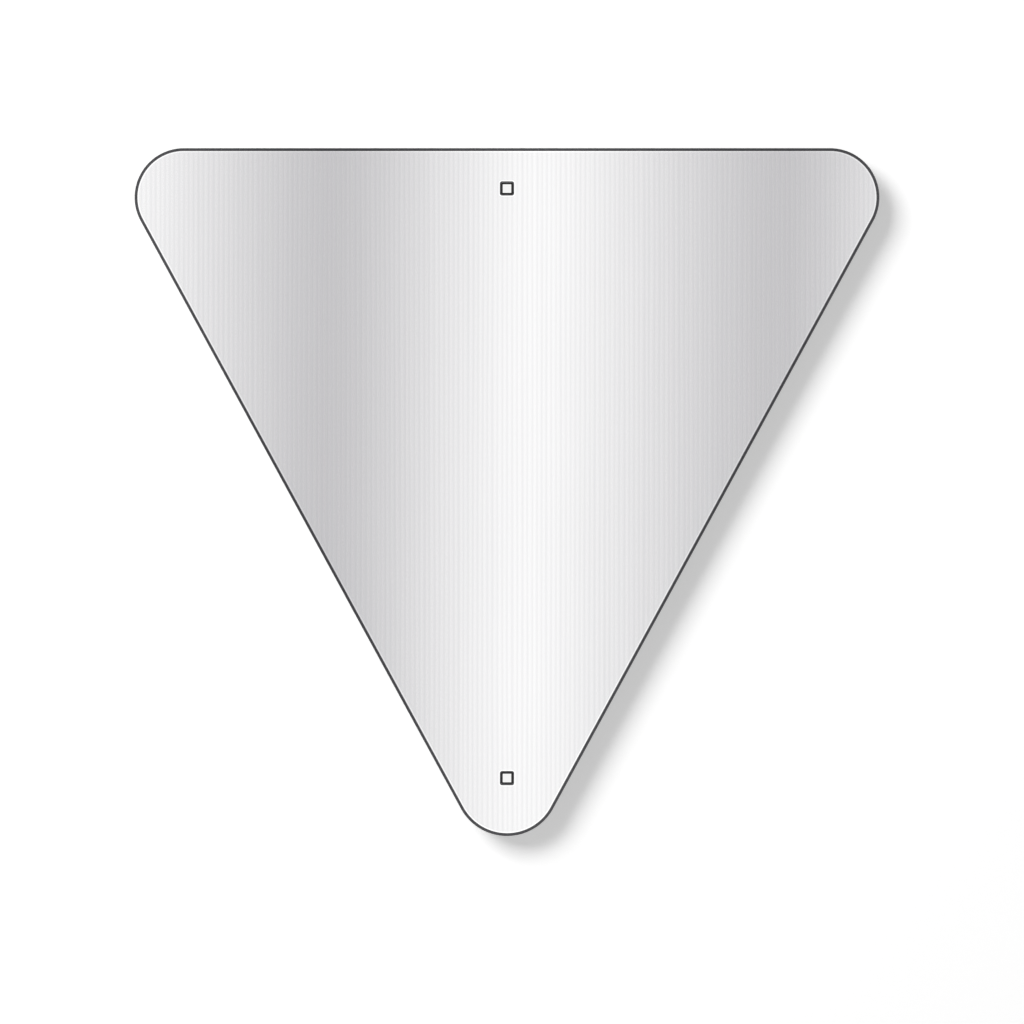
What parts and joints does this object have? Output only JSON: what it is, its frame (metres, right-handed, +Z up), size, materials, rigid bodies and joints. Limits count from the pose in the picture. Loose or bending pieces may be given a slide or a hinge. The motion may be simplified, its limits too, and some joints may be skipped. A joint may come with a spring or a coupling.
{
  "type": "traffic sign blank",
  "caption": "Flat triangular point-down sign blank in bare brushed aluminium sheet, with rounded corners and square bolt holes on its upright centreline.",
  "frame": {"origin": "on the back face, on the upright centreline, midway between the two bolt holes", "axes": "+Z up as the sign hangs in use with its point down, +Y out of the back face towards the post, so the front looks along -Y, and +X to the right as the front is looked at"},
  "size_m": [0.6096, 0.002, 0.563],
  "materials": {
    "aluminium_sheet": "bare brushed mill finish with an upright grain"
  },
  "bodies": {
    "root": {"sign_blank": "aluminium_sheet"}
  },
  "joints": []
}
